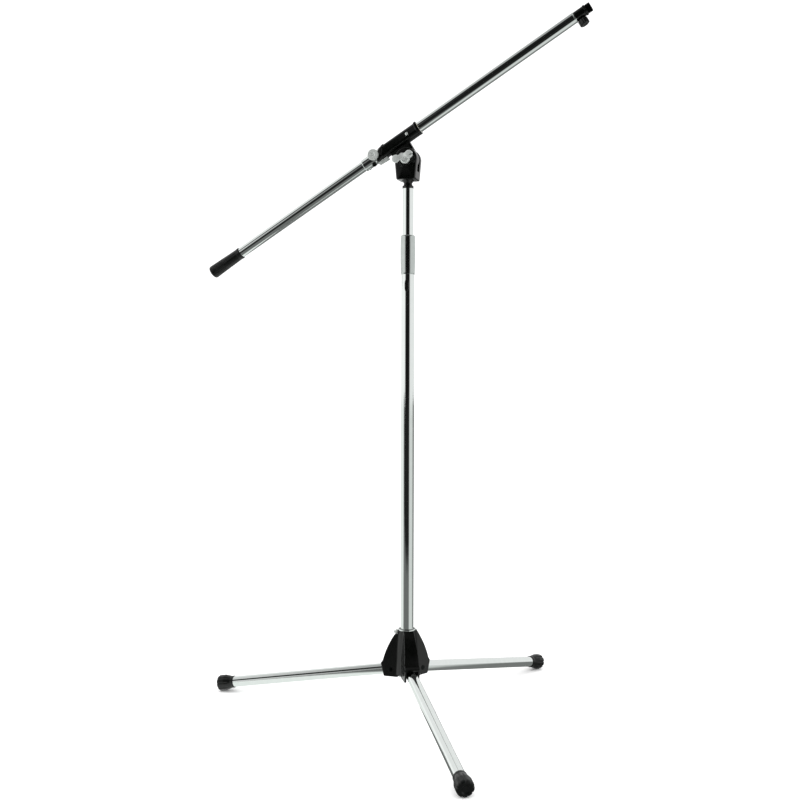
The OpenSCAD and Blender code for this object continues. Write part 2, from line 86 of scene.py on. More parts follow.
def object_from(name, points, faces, finish):
    """A mesh object with its place in its mesh."""
    mesh = bpy.data.meshes.new(name)
    mesh.from_pydata(points.tolist(), [], faces)
    mesh.materials.append(finish)
    piece = bpy.data.objects.new(name, mesh)
    scene.collection.objects.link(piece)
    return piece


camera = bpy.data.objects.new("camera", bpy.data.cameras.new("camera"))
camera.data.lens = 45
camera.data.sensor_width = 36
camera_turn = Matrix.Rotation(np.radians(17.23), 4, "Z") @ Matrix.Rotation(np.radians(87.79), 4, "X")
camera.matrix_world = (Matrix.Translation((0.49266, -1.63174, 0.602)) @ camera_turn
                       @ Matrix.Rotation(np.radians(0.12), 4, "Z"))
scene.collection.objects.link(camera)
scene.camera = camera

to_camera = np.array([0.49266, -1.63174]) / np.hypot(0.49266, -1.63174)
to_left = np.array([to_camera[1], -to_camera[0]])

room = bpy.data.worlds.new("white_room")
room.use_nodes = True
room.cycles.sampling_method = "NONE"
scene.world = room
tree = room.node_tree
tree.nodes.clear()
direction = add(tree, "ShaderNodeTexCoord").outputs["Generated"]
ahead = add(tree, "ShaderNodeVectorMath", {0: direction, 1: (*to_camera, 0)}, operation="DOT_PRODUCT")
aside = add(tree, "ShaderNodeVectorMath", {0: direction, 1: (*to_left, 0)}, operation="DOT_PRODUCT")
bearing = add(tree, "ShaderNodeMath", {0: aside.outputs["Value"], 1: ahead.outputs["Value"]},
              operation="ARCTAN2")
height = add(tree, "ShaderNodeSeparateXYZ", {0: direction}).outputs["Z"]


def band(value, marks):
    """A value carried through marks of (place, result), with a soft step from each to the next."""
    result = marks[0][1]
    for (start, before), (end, after) in zip(marks[::2], marks[1::2]):
        step = add(tree, "ShaderNodeMapRange", {"Value": value, "From Min": start, "From Max": end,
                                                "To Min": 0.0, "To Max": 1.0},
                   interpolation_type="SMOOTHSTEP").outputs[0]
        result = add(tree, "ShaderNodeMix", {"Factor": step, "A": result, "B": after},
                     data_type="FLOAT").outputs[0]
    return result


lit_left, lit_right = 1.0, 0.86
unlit = 0.008
unlit_above = 0.015
lit_above = 0.85
ceiling = 0.36
walls = band(bearing.outputs[0], [(np.radians(-48), lit_right), (np.radians(-23), unlit),
                                  (np.radians(30), unlit), (np.radians(56), lit_left)])
slopes = band(ahead.outputs["Value"], [(0.1, lit_above), (0.4, unlit_above)])
overhead = band(height, [(0.68, slopes), (0.9, ceiling)])
dimmed = band(height, [(0.2, walls), (0.45, overhead)])
ray = add(tree, "ShaderNodeLightPath")
seen = add(tree, "ShaderNodeMix", {"Factor": ray.outputs["Is Glossy Ray"], "A": 1.25, "B": dimmed},
           data_type="FLOAT").outputs[0]
sky = add(tree, "ShaderNodeBackground", {"Color": linear("#ffffff"), "Strength": seen})
add(tree, "ShaderNodeOutputWorld", {"Surface": sky.outputs[0]})

paper = bpy.data.materials.new("white_paper_with_painted_glow")
paper.use_nodes = True
paper.cycles.emission_sampling = "NONE"
tree = paper.node_tree
tree.nodes.clear()
spot = add(tree, "ShaderNodeTexCoord").outputs["Object"]
outward = add(tree, "ShaderNodeVectorMath", {0: spot, 1: (*to_camera, 0)},
              operation="DOT_PRODUCT").outputs["Value"]
leftward = add(tree, "ShaderNodeVectorMath", {0: spot, 1: (*to_left, 0)},
               operation="DOT_PRODUCT").outputs["Value"]
swing = add(tree, "ShaderNodeMath", {0: leftward, 1: outward}, operation="ARCTAN2").outputs[0]
# Painted light: seen in reflections, the floor does not reflect the lamps but glows by itself. On the
# camera's side the glow is painted shade, 0.16 within a metre and almost none beyond 1.5 m. To either side it
# is brighter, a painted reflection of lit floor.
front = band(outward, [(1.0, 0.16), (1.5, 0.015)])
painted_floor_glow = band(swing, [(np.radians(-118), 0.2), (np.radians(-88), 0.7), (np.radians(-42), 0.7),
                    (np.radians(-22), front), (np.radians(50), front), (np.radians(82), 0.9)])
ray = add(tree, "ShaderNodeLightPath")
bright = add(tree, "ShaderNodeBsdfDiffuse", {"Color": linear("#ffffff")})
# The painted glow is an emission that only glossy rays see. Camera and diffuse rays see plain white diffuse
# paper.
painted_glow_emission = add(tree, "ShaderNodeEmission", {"Color": linear("#fbfefc"), "Strength": painted_floor_glow})
mixed = add(tree, "ShaderNodeMixShader", {0: ray.outputs["Is Glossy Ray"], 1: bright.outputs[0],
                                          2: painted_glow_emission.outputs[0]})
add(tree, "ShaderNodeOutputMaterial", {"Surface": mixed.outputs[0]})

reach = 12.0
corners = np.array([[-reach, -reach, 0], [reach, -reach, 0], [reach, reach, 0], [-reach, reach, 0]])
floor = object_from("floor", corners, [(0, 1, 2, 3)], paper)

for name, place_at, size, power in (("key_softbox", (-1.6, -1.2, 2.6), 1.8, 26),
                                    ("fill_softbox", (1.9, 0.4, 2.2), 1.8, 16)):
    lamp = bpy.data.objects.new(name, bpy.data.lights.new(name, "AREA"))
    lamp.data.size = size
    lamp.data.energy = power
    aim = (Vector(place_at) - Vector((0, 0, 0.5))).to_track_quat("Z", "Y")
    lamp.matrix_world = Matrix.Translation(place_at) @ aim.to_matrix().to_4x4()
    lamp.visible_camera = False
    lamp.visible_glossy = False
    scene.collection.objects.link(lamp)

# ---- Lower tube ----
# Drawn steel tube, polished and plated with bright chrome. It is open at the top for the rod
# and closed at the bottom by a plug, and the hub slides on it.

mm = 0.001


def extent(node):
    """A node's lowest and highest corners, in millimetres."""
    low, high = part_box(node)
    return np.array(low) / mm, np.array(high) / mm


def axes(origin, along, side):
    """A piece's own frame: Z runs along, X lies as near to side as it can, and Y follows."""
    z = np.array(along, float) / np.linalg.norm(along)
    y = np.cross(z, side)
    y /= np.linalg.norm(y)
    return np.array(origin, float), np.array([np.cross(y, z), y, z])


def rounded(corners, radius, closed=False, steps=5):
    """An outline whose corners are turned into arcs. An arc touches both sides of its corner at
    radius / tan(half the corner's angle), or nearer where the side is short, and a point a little
    further along each side keeps the flats flat. The ends of an open outline stay sharp."""
    corners = np.array(corners, float)
    radius = np.broadcast_to(np.array(radius, float), len(corners)).copy()
    if not closed:
        radius[[0, -1]] = 0
    back = np.roll(corners, 1, axis=0) - corners
    onward = np.roll(corners, -1, axis=0) - corners
    back_length = np.linalg.norm(back, axis=1) + 1e-9
    onward_length = np.linalg.norm(onward, axis=1) + 1e-9
    back /= back_length[:, None]
    onward /= onward_length[:, None]
    shortest = np.minimum(back_length, onward_length)
    half = np.arccos(np.clip((back * onward).sum(1), -0.99999, 0.99999)) / 2
    wanted = radius / np.tan(half) + 1e-9
    share = np.minimum(1, 0.9 * onward_length / (wanted + np.roll(wanted, -1)))
    touch = wanted * np.minimum(share, np.roll(share, 1))
    radius = touch * np.tan(half)
    inward = back + onward
    inward /= np.linalg.norm(inward, axis=1)[:, None] + 1e-12
    centre = corners + inward * (radius / np.sin(half))[:, None]
    turn = (np.pi - 2 * half)[:, None, None] + 1e-6
    t = np.linspace(0, 1, steps + 1)[None, :, None]
    start = (corners + back * touch[:, None] - centre)[:, None]
    end = (corners + onward * touch[:, None] - centre)[:, None]
    arcs = centre[:, None] + (np.sin((1 - t) * turn) * start + np.sin(t * turn) * end) / np.sin(turn)
    margin = np.minimum(0.3, 0.04 * shortest)[:, None]
    before = (corners + back * (touch[:, None] + margin))[:, None]
    after = (corners + onward * (touch[:, None] + margin))[:, None]
    points = np.concatenate([before, arcs, after], axis=1).reshape(-1, 2)
    return points if closed else points[1:-1]


def loops_round(radius, height, angle):
    """Loops round Z, whose radius may change with both height and angle: (r cos a, r sin a, z)."""
    return np.stack([radius * np.cos(angle), radius * np.sin(angle), height + 0 * angle], axis=-1)


def revolve(profile, columns=96):
    """A profile of (radius, height) carried round Z. The profile goes up outside and down inside,
    and it is a ring unless it starts on the axis."""
    r, z = np.array(profile, float)[:, :, None].transpose(1, 0, 2)
    return loops_round(r, z, np.linspace(0, 2 * np.pi, columns, endpoint=False))


def skin(rows, where, ring=False):
    """Corners and faces of a closed surface of stacked loops. Each cell of the grid is a face, the
    last column joins the first, and in a ring the last row joins the first too."""
    origin, turn = where
    index = np.arange(rows.shape[0] * rows.shape[1]).reshape(rows.shape[:2])
    beside = np.roll(index, -1, axis=1)
    faces = np.stack([index, beside, np.roll(beside, -1, axis=0), np.roll(index, -1, axis=0)], axis=-1)
    if not ring:
        faces = faces[:-1]
    return origin + mm * rows.reshape(-1, 3) @ turn, faces.reshape(-1, 4)


def piece_of(name, skins, finish, crease=32):
    """One object from closed skins. Corners of a skin that coincide, as at a pole, are made one,
    so a face there becomes a triangle, and a face with no area goes."""
    starts = np.cumsum([0] + [len(points) for points, faces in skins[:-1]])
    points = np.concatenate([points for points, faces in skins])
    label = np.repeat(np.arange(len(skins)), [len(points) for points, faces in skins])
    key = np.column_stack([np.round(points / (0.0005 * mm)), label])
    _, first, merged = np.unique(key, axis=0, return_index=True, return_inverse=True)
    faces = merged.reshape(-1)[np.concatenate([f + s for (p, f), s in zip(skins, starts)])]
    same = faces == np.roll(faces, -1, axis=1)
    crossed = (faces[:, 0] == faces[:, 2]) | (faces[:, 1] == faces[:, 3])
    quads = faces[(same.sum(1) == 0) & ~crossed]
    thin = (same.sum(1) == 1) & ~crossed
    keep = np.arange(4)[None] != same[thin].argmax(1)[:, None]
    triangles = faces[thin][keep].reshape(-1, 3)
    piece = object_from(name, points[first], quads.tolist() + triangles.tolist(), finish)
    piece.data.shade_smooth()
    piece.data.set_sharp_from_angle(angle=np.radians(crease))
    return piece


def new_finish(name):
    """An empty material with its shader, and the place on the piece in metres."""
    material = bpy.data.materials.new(name)
    material.use_nodes = True
    tree = material.node_tree
    shader = tree.nodes["Principled BSDF"]
    return material, tree, shader, add(tree, "ShaderNodeTexCoord").outputs["Object"]


def bright_chrome(name, haze, ripple, tint_from="#eaf0ed", tint_to="#f4f8f6"):
    """Chrome plate over polished metal: a cool, faintly green mirror. Handling leaves a thin haze in
    patches a few millimetres across, and the metal under the plate is not quite even."""
    material, tree, shader, place = new_finish(name)
    patches = add(tree, "ShaderNodeTexNoise", {"Vector": place, "Scale": 1 / (9 * mm), "Detail": 4.0})
    grain = add(tree, "ShaderNodeTexNoise", {"Vector": place, "Scale": 1 / (0.8 * mm), "Detail": 2.0})
    waves = add(tree, "ShaderNodeTexNoise", {"Vector": place, "Scale": 1 / (14 * mm), "Detail": 1.0})
    tint = add(tree, "ShaderNodeMix", {"Factor": patches.outputs[0], 6: linear(tint_from),
                                       7: linear(tint_to)}, data_type="RGBA")
    rough = add(tree, "ShaderNodeMapRange", {"Value": patches.outputs[0], "From Min": 0.35, "From Max": 0.75,
                                             "To Min": haze, "To Max": haze + 0.06})
    speckled = add(tree, "ShaderNodeMath", {0: grain.outputs[0], 1: 0.02, 2: rough.outputs[0]},
                   operation="MULTIPLY_ADD")
    uneven = add(tree, "ShaderNodeBump", {"Height": waves.outputs[0], "Strength": ripple,
                                          "Distance": 0.05 * mm})
    fine = add(tree, "ShaderNodeBump", {"Height": grain.outputs[0], "Strength": 0.12,
                                        "Distance": 0.004 * mm, "Normal": uneven.outputs[0]})
    shader.inputs["Metallic"].default_value = 1.0
    tree.links.new(tint.outputs[2], shader.inputs["Base Color"])
    tree.links.new(speckled.outputs[0], shader.inputs["Roughness"])
    tree.links.new(fine.outputs[0], shader.inputs["Normal"])
    return material


chromed_tube = bright_chrome("bright_chrome_on_drawn_tube", 0.04, 0.35)
mast = axes((0, 0, 0), (0, 0, 1), (1, 0, 0))
wall = 1.2


def tube_wall(outer, inner, start, end, edge=0.25):
    """A tube's section, whose four edges are broken by small arcs."""
    section = [[outer, start], [outer, end], [inner, end], [inner, start]]
    return rounded(section, edge, closed=True, steps=3)


low, high = extent("base_tube")
lower_r = high[0]
tube_bottom = low[2]
tube_top = high[2]
tube_section = tube_wall(lower_r, lower_r - wall, tube_bottom, tube_top)
lower_tube = piece_of("lower_tube", [skin(revolve(tube_section), mast, ring=True)], chromed_tube)
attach(lower_tube, "mast")
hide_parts("base_tube")

# ---- Stop ring and plug ----
# A turned steel ring is pressed on the tube's foot, so that the hub can't slide off, and a black
# plug of moulded plastic closes the tube under it.


def moulded_black(name, colour, gloss, grain_size, depth, sheen=0.25):
    """Black glass-filled nylon from a spark-eroded mould: the fine grain scatters a soft grey sheen,
    and flow lines leave faint patches that are a little glossier."""
    material, tree, shader, place = new_finish(name)
    grain = add(tree, "ShaderNodeTexNoise", {"Vector": place, "Scale": 1 / (grain_size * mm), "Detail": 3.0})
    flow = add(tree, "ShaderNodeTexNoise", {"Vector": place, "Scale": 1 / (11 * mm), "Detail": 2.0,
                                            "Distortion": 1.2})
    tint = add(tree, "ShaderNodeMix", {"Factor": flow.outputs[0], 6: linear(colour), 7: linear("#050605")},
               data_type="RGBA")
    rough = add(tree, "ShaderNodeMapRange", {"Value": flow.outputs[0], "From Min": 0.3, "From Max": 0.7,
                                             "To Min": gloss, "To Max": gloss + 0.1})
    bump = add(tree, "ShaderNodeBump", {"Height": grain.outputs[0], "Strength": 0.5, "Distance": depth * mm})
    shader.inputs["IOR"].default_value = 1.53
    shader.inputs["Specular IOR Level"].default_value = sheen
    tree.links.new(tint.outputs[2], shader.inputs["Base Color"])
    tree.links.new(rough.outputs[0], shader.inputs["Roughness"])
    tree.links.new(bump.outputs[0], shader.inputs["Normal"])
    return material


def plated_metal(name, first, second, roughness, mark_size, metallic=1.0):
    """Machined metal, either bare or zinc plated: a soft, slightly mottled shine with fine tool marks."""
    material, tree, shader, place = new_finish(name)
    mottle = add(tree, "ShaderNodeTexNoise", {"Vector": place, "Scale": 1 / (4 * mm), "Detail": 4.0})
    marks = add(tree, "ShaderNodeTexNoise", {"Vector": place, "Scale": 1 / (mark_size * mm), "Detail": 2.0})
    tint = add(tree, "ShaderNodeMix", {"Factor": mottle.outputs[0], 6: linear(first), 7: linear(second)},
               data_type="RGBA")
    rough = add(tree, "ShaderNodeMapRange", {"Value": mottle.outputs[0], "To Min": roughness - 0.06,
                                             "To Max": roughness + 0.1})
    bump = add(tree, "ShaderNodeBump", {"Height": marks.outputs[0], "Strength": 0.4, "Distance": 0.02 * mm})
    shader.inputs["Metallic"].default_value = metallic
    tree.links.new(tint.outputs[2], shader.inputs["Base Color"])
    tree.links.new(rough.outputs[0], shader.inputs["Roughness"])
    tree.links.new(bump.outputs[0], shader.inputs["Normal"])
    return material


zinc_plated = plated_metal("zinc_plated_steel", "#a9aeac", "#c3c8c6", 0.26, 0.6)
satin_plate = plated_metal("satin_nickel_plate_on_casting", "#cdd2cf", "#e2e6e3", 0.46, 0.7, 0.72)
black_nylon = moulded_black("moulded_black_nylon", "#040605", 0.24, 0.7, 0.015, 0.5)
black_steel = plated_metal("blackened_steel", "#181b1a", "#262928", 0.36, 0.6)

low, high = extent("stop_ring")
stop_section = tube_wall(high[0], lower_r, low[2], high[2], 0.5)
stop_collar = piece_of("stop_collar", [skin(revolve(stop_section), mast, ring=True)], zinc_plated)
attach(stop_collar, "mast")
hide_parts("stop_ring")

low, high = extent("tube_plug")
plug_section = rounded([[0, low[2]], [lower_r, low[2]], [lower_r, tube_bottom], [lower_r - wall, tube_bottom],
                        [lower_r - wall, high[2]], [0, high[2]]], [0, 1, 0.2, 0.1, 0.6, 0])
end_plug = piece_of("end_plug", [skin(revolve(plug_section), mast)], black_nylon)
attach(end_plug, "mast")
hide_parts("tube_plug")

# ---- Clutch ----
# A chromed sleeve screws on a brass seat on the lower tube and squeezes a split nylon ring on the
# rod. The seat and the ring are inside, and an oval key of black plastic stands out of the tube.

turned_brass = plated_metal("turned_brass", "#a98c46", "#bfa25a", 0.3, 0.5)

white_nylon, tree, shader, place = new_finish("moulded_white_nylon")
clouds = add(tree, "ShaderNodeTexNoise", {"Vector": place, "Scale": 1 / (5 * mm), "Detail": 3.0})
tint = add(tree, "ShaderNodeMix", {"Factor": clouds.outputs[0], 6: linear("#d2cdbf"), 7: linear("#e0dccf")},
           data_type="RGBA")
tree.links.new(tint.outputs[2], shader.inputs["Base Color"])
shader.inputs["Roughness"].default_value = 0.45
shader.inputs["Subsurface Weight"].default_value = 0.1
shader.inputs["Subsurface Scale"].default_value = 2 * mm

for node, finish in (("clutch_seat", turned_brass), ("clutch_collet", white_nylon)):
    frame["nodes"][node].data.materials.clear()
    frame["nodes"][node].data.materials.append(finish)

chromed_casting = bright_chrome("bright_chrome_on_zinc_casting", 0.07, 0.9)
clouded_chrome = bright_chrome("clouded_chrome_on_turned_steel", 0.12, 0.5, "#b9c0bd", "#cfd5d2")
low, high = extent("clutch_sleeve")
sleeve_bottom = low[2]
sleeve_top = high[2]
belly_r = high[0]
foot_inset, taper, bulge = 0.65, 0.3, 1.8
t = np.linspace(0, 1, 22)
side = np.column_stack([belly_r - foot_inset + taper * t + bulge * t * (1 - t),
                        sleeve_bottom + 1 + (sleeve_top - sleeve_bottom - 4) * t])
rod_hole = 10.05
tube_hole = lower_r + 0.05
shoulder = rounded([side[-1], [side[-1][0] - 0.1, sleeve_top], [rod_hole, sleeve_top],
                    [rod_hole, sleeve_top - 4]], [0, 2.4, 0.2, 0])
foot_edge = rounded([[tube_hole, sleeve_bottom + 8], [tube_hole, sleeve_bottom],
                     [side[0][0] - 0.2, sleeve_bottom], side[0]], [0, 0.4, 0.6, 0])
sleeve_section = np.concatenate([foot_edge, side[1:-1], shoulder, [[tube_hole, sleeve_top - 7]]])
clutch = piece_of("clutch_grip_sleeve", [skin(revolve(sleeve_section, 120), mast, ring=True)],
                  clouded_chrome)
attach(clutch, "clutch")
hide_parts("clutch_sleeve")

low, high = extent("clutch_key")
key_middle = (low + high) / 2
key_out = np.array([key_middle[0], key_middle[1], 0]) / np.linalg.norm(key_middle[:2])
key_at = axes(mm * (key_out * lower_r + np.array([0, 0, key_middle[2]])), key_out, (0, 0, 1))
half_length = (high[2] - low[2]) / 2
half_width = 3.4
dome_height, root_depth = 1.2, 1.6
angle = np.linspace(0, 2 * np.pi, 48, endpoint=False)
rise = np.linspace(0, 1, 8)[:, None]
dome = np.sqrt(1 - rise ** 2) ** 0.6
oval_x = (half_length - half_width) * np.sign(np.cos(angle)) * np.abs(np.cos(angle)) ** 0.4
loops = np.stack([dome * (oval_x + half_width * np.cos(angle)), dome * half_width * np.sin(angle),
                  dome_height * rise + 0 * angle], axis=-1)
root = loops[:1] - [0, 0, root_depth]
key_rows = np.concatenate([root * [0, 0, 1], root, loops])
clutch_boss = piece_of("clutch_boss", [skin(key_rows, key_at)], black_nylon)
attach(clutch_boss, "mast")
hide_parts("clutch_key")

# ---- Tripod hub ----
# One sand-smooth zinc casting in satin black stove enamel: a sleeve with three hollow fins that
# broaden downwards, and each fin is open below for its leg.


def soft_least(a, b, width):
    """The lower of two surfaces, with a fillet where they cross:
    (a + b - sqrt((a - b)^2 + width^2)) / 2."""
    return (a + b - np.sqrt((a - b) ** 2 + width ** 2)) / 2


def soft_most(a, b, width):
    """The higher of two surfaces, with a fillet where they cross."""
    return -soft_least(-a, -b, width)


def carve(piece, cutters, operation="DIFFERENCE", crease=32):
    """Cuts the cutters out of a piece, or joins them to it, and removes them."""
    for cutter in cutters:
        step = piece.modifiers.new("carve", "BOOLEAN")
        step.operation = operation
        step.object = cutter
    shaped = bpy.data.meshes.new_from_object(piece.evaluated_get(bpy.context.evaluated_depsgraph_get()))
    piece.modifiers.clear()
    piece.data = shaped
    shaped.shade_smooth()
    shaped.set_sharp_from_angle(angle=np.radians(crease))
    for cutter in cutters:
        bpy.data.objects.remove(cutter)
    return piece


def capped(rows):
    """Closes a stack of loops at both ends: each end loop gains a row at its own middle."""
    ends = [np.broadcast_to(rows[i].mean(0), rows[i].shape)[None] for i in (0, -1)]
    return np.concatenate([ends[0], rows, ends[1]])


def prism(outline, low, high, edge=0.0, steps=4):
    """An outline, counter-clockwise, carried straight up Z. Its rims are rounded by drawing the
    outline in towards its middle."""
    outline = np.array(outline, float)
    middle = outline.mean(0)
    t = np.linspace(0, np.pi / 2, steps + 1)
    inset = edge * (1 - np.sin(t))
    rise = edge * (1 - np.cos(t))
    inset = np.concatenate([inset, inset[::-1]])
    z = np.concatenate([low + rise, high - rise[::-1]])
    spread = outline - middle
    length = np.linalg.norm(spread, axis=1, keepdims=True)
    loops = middle + spread[None] * (1 - inset[:, None, None] / length[None])
    heights = np.broadcast_to(z[:, None, None], (*loops.shape[:2], 1))
    return capped(np.concatenate([loops, heights], axis=-1))


black_enamel = moulded_black("satin_black_enamel_on_casting", "#020302", 0.15, 1.3, 0.008, 0.42)

fin_joints = [joints[f"leg_{name}_fold"] for name in ("left", "right", "front")]
pivots = [np.array(joint["pos_m"]) / mm for joint in fin_joints]
pivot_r = np.linalg.norm(pivots[0][:2])
pivot_z = pivots[0][2]
low, high = extent("tripod_hub")
hub_bottom = low[2]
neck_top = high[2]
fin_top = neck_top - 2.2
sleeve_r = lower_r + 2.4
bore_r = lower_r + 0.05
recess_r, recess_top = 16.4, hub_bottom + 7
lip_z, slope_z = 83, 88
toe_r, lip_r, slope_r, neck_r = 38, 43.5, 39.7, 14.5
slope_bulge = 12.8
skirt_rise = 4
theta = np.linspace(0, 2 * np.pi, 432, endpoint=False)
fin_angles = np.array([np.arctan2(p[1], p[0]) for p in pivots])[:, None]
off_fin = np.abs((theta - fin_angles + np.pi) % (2 * np.pi) - np.pi).min(0)
on_fin = np.clip((np.radians(47) - off_fin) / np.radians(8), 0, 1)
skirt = hub_bottom + skirt_rise * (1 - on_fin ** 2 * (3 - 2 * on_fin))
share = np.concatenate([np.linspace(0, 0.02, 6), np.linspace(0.03, 1, 104)])[:, None]
z = skirt + share * (fin_top - skirt)


def fin_reach(z):
    """How far a fin stands out: a straight foot, a step over the leg, and a bulging slope to the neck.
    The bulge is slope_bulge * t * (1 - t), where t goes from 0 to 1 up the slope."""
    up = np.clip((z - slope_z) / (fin_top - slope_z), 0, 1)
    straight = np.interp(z, [hub_bottom, lip_z, slope_z, fin_top], [toe_r, lip_r, slope_r, neck_r])
    return straight + slope_bulge * up * (1 - up)


softened = np.mean([fin_reach(z + step) for step in np.linspace(-0.7, 0.7, 7)], axis=0)
cheek = 13.0
half_width = np.interp(z, [hub_bottom, 92, fin_top], [cheek, cheek, 8.7])
fin = soft_least(softened / np.cos(off_fin), half_width / np.maximum(np.sin(off_fin), 0.01), 1.3)
web_bottom = hub_bottom + skirt_rise
web_foot, web_bulge = 19.0, 4.0
up = np.clip((z - web_bottom) / (fin_top - web_bottom), 0, 1)
web = web_foot + (sleeve_r - web_foot) * up + web_bulge * up * (1 - up)
radius = soft_most(web, fin, 2.0)
hem = 1.4
lip = 1 - np.clip((z - skirt) / hem, 0, 1)
radius = radius - hem * (1 - np.sqrt(1 - lip ** 2))
outside = loops_round(radius, z, theta)
inside = revolve(rounded([[sleeve_r, fin_top + 0.1], [sleeve_r, neck_top], [bore_r, neck_top],
                          [bore_r, recess_top], [recess_r, recess_top], [recess_r, recess_top - 1]],
                         0.3, steps=3), len(theta))
sweep = np.linspace(0, 1, 5)[:-1, None]
floor_r = recess_r + sweep * (radius[0] - recess_r)
underside = loops_round(floor_r, skirt + 0 * floor_r, theta)
hub_rows = np.concatenate([outside, inside, underside])
hub = piece_of("hub_casting", [skin(hub_rows, mast, ring=True)], black_enamel)

low, high = extent("leg_tube_left")
leg_r = (high[1] - low[1]) / 2
leg_slope = np.arcsin((pivot_z - (low[2] + high[2]) / 2)
                      / np.linalg.norm((low + high) / 2 - pivots[0]))
room_r = leg_r + 0.4
turn = np.linspace(np.pi, np.pi / 2 - leg_slope, 16)
room_arc = np.column_stack([pivot_r + room_r * np.cos(turn), pivot_z + room_r * np.sin(turn)])
beyond, below = 60, 20
room_end = [pivot_r + beyond, pivot_z + room_r / np.cos(leg_slope) - beyond * np.tan(leg_slope)]
room_outline = np.concatenate([[[pivot_r - room_r, hub_bottom - below]], room_arc, [room_end],
                               [[pivot_r + beyond, hub_bottom - below]]])[::-1]
seat_r, screw_seat_r = 4.6, 6.0
ring = np.linspace(0, 2 * np.pi, 40, endpoint=False)
circle = np.column_stack([np.cos(ring), np.sin(ring)])
cutters = []
for angle in fin_angles[:, 0]:
    outward = np.array([np.cos(angle), np.sin(angle), 0])
    fin_plane = axes((0, 0, 0), np.cross(outward, (0, 0, 1)), outward)
    cutters.append(piece_of("leg_room", [skin(prism(room_outline, -leg_r - 0.3, leg_r + 0.3), fin_plane)],
                            black_enamel))
    seat = seat_r * circle + [pivot_r, pivot_z]
    for start, end in ((-24, -cheek), (cheek, 24)):
        cutters.append(piece_of("pin_seat", [skin(prism(seat, start, end), fin_plane)], black_enamel))
screw_turn = joints["hub_screw_turn"]
screw_out = np.array(screw_turn["axis"])
screw_at = axes((0, 0, screw_turn["pos_m"][2]), screw_out, (0, 0, 1))
screw_head = 16.2
cutters.append(piece_of("screw_seat", [skin(prism(screw_seat_r * circle, screw_head - 0.4, 46), screw_at)],
                        black_enamel))
carve(hub, cutters)
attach(hub, "hub")
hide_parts("tripod_hub")

# ---- Hub fittings ----
# A chromed ring trims the hub's neck, a blackened steel pin with two domed heads holds each leg, and a
# thumb screw with a flat paddle presses a brass pad on the tube.

low, high = extent("neck_ring")
trim_section = tube_wall(high[0], sleeve_r, low[2], high[2], 0.5)
neck_trim = piece_of("neck_trim", [skin(revolve(trim_section), mast, ring=True)], chromed_casting)
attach(neck_trim, "hub")
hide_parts("neck_ring")

frame["nodes"]["clamp_shoe"].data.materials.clear()
frame["nodes"]["clamp_shoe"].data.materials.append(turned_brass)

pin_r, pin_head_r, pin_head = 3.0, 4.2, 0.95
quarter = np.linspace(0, np.pi / 2, 8)
head_dome = np.column_stack([pin_head_r * np.cos(quarter), cheek + pin_head * np.sin(quarter)])
pin_half = np.concatenate([[[pin_r, 0], [pin_r, cheek - 0.1]], [[pin_head_r - 0.2, cheek]], head_dome])
pin_section = np.concatenate([pin_half[::-1] * [1, -1], pin_half[1:]])
pin_skins = []
for pivot in pivots:
    pin_at = axes(mm * pivot, np.cross((0, 0, 1), [pivot[0], pivot[1], 0]), (0, 0, 1))
    pin_skins.append(skin(revolve(pin_section, 48), pin_at))
hinge_pins = piece_of("hinge_pins", pin_skins, black_steel)
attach(hinge_pins, "hub")
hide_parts("leg_pins")

screw_r, screw_head_r, paddle_half = 3.0, 4.2, 5.0
shank_start = lower_r + 1.3
paddle_start, paddle_end = screw_head + 1, screw_head + 6.6
shank = rounded([[0, shank_start], [screw_r, shank_start], [screw_r, screw_head], [screw_head_r, screw_head],
                 [screw_head_r, screw_head + 2.6], [2, screw_head + 3.2], [0, screw_head + 3.2]],
                [0, 0.2, 0.1, 0.4, 0.6, 0.3, 0])
paddle_outline = rounded([[-paddle_half, paddle_start], [paddle_half, paddle_start],
                          [paddle_half, paddle_end], [-paddle_half, paddle_end]],
                         [0.6, 0.6, 2.2, 2.2], closed=True)
paddle_frame = (screw_at[0], np.array([np.cross(screw_out, (0, 0, 1)), screw_out, (0, 0, -1)]))
hub_screw = piece_of("hub_thumb_screw", [skin(revolve(shank, 48), screw_at)], satin_plate)
wing = piece_of("wing", [skin(prism(paddle_outline, -1.3, 1.3, 0.6), paddle_frame)], satin_plate)
carve(hub_screw, [wing], "UNION")
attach(hub_screw, "hub_screw")
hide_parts("hub_wing_screw")

# ---- Legs ----
# Each leg is a chromed tube on a steel root that turns on the hub's pin. Its foot is a boot of black
# rubber with nine flutes, stretched over the tube's end.

rubber, tree, shader, place = new_finish("moulded_black_rubber")
pores = add(tree, "ShaderNodeTexNoise", {"Vector": place, "Scale": 1 / (0.9 * mm), "Detail": 3.0})
bloom = add(tree, "ShaderNodeTexNoise", {"Vector": place, "Scale": 1 / (8 * mm), "Detail": 4.0})
tint = add(tree, "ShaderNodeMix", {"Factor": bloom.outputs[0], 6: linear("#020403"), 7: linear("#090c0a")},
           data_type="RGBA")
rough = add(tree, "ShaderNodeMapRange", {"Value": bloom.outputs[0], "To Min": 0.24, "To Max": 0.4})
bump = add(tree, "ShaderNodeBump", {"Height": pores.outputs[0], "Strength": 0.5, "Distance": 0.05 * mm})
tree.links.new(tint.outputs[2], shader.inputs["Base Color"])
tree.links.new(rough.outputs[0], shader.inputs["Roughness"])
tree.links.new(bump.outputs[0], shader.inputs["Normal"])
shader.inputs["IOR"].default_value = 1.5
shader.inputs["Specular IOR Level"].default_value = 0.5



def flute(rows, share, depth, radius):
    """Cuts grooves in a revolved surface. A point at that radius goes in by its row's share times
    its column's depth: r becomes r * (1 - share * depth / radius)."""
    rows[..., :2] *= 1 - share[:, None, None] * depth[None, :, None] / radius


